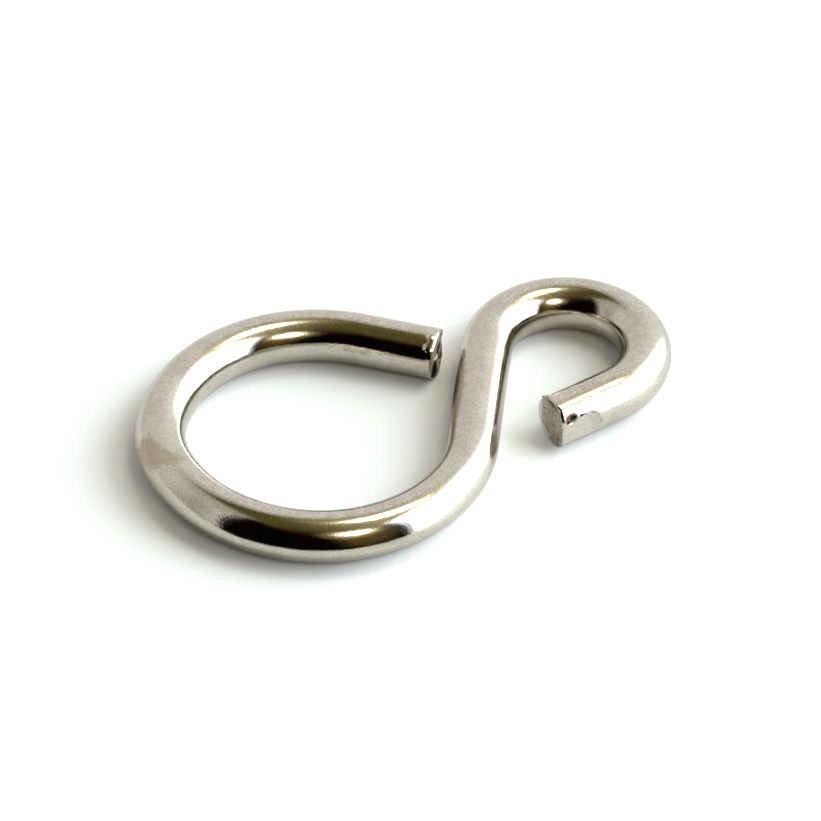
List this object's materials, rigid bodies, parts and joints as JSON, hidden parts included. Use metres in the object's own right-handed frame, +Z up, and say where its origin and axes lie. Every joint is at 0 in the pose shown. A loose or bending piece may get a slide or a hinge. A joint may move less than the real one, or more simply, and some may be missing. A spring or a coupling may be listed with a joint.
{
  "type": "s hook",
  "caption": "Small S hook bent from one length of round plated wire, with a large loop nearly closed on one end and a small open loop on the other.",
  "frame": {"origin": "middle of the hook's footprint, on the surface that it lies on", "axes": "+X runs through the middles of the two loops, from the large one to the small one, and +Z is up, square to the plane that the wire is bent in"},
  "size_m": [0.0326, 0.021, 0.003],
  "materials": {
    "nickel_plate": "bright nickel plate with a fine drawn grain, bare steel at the two cut ends"
  },
  "bodies": {
    "root": {"s_hook": "nickel_plate"}
  },
  "joints": []
}
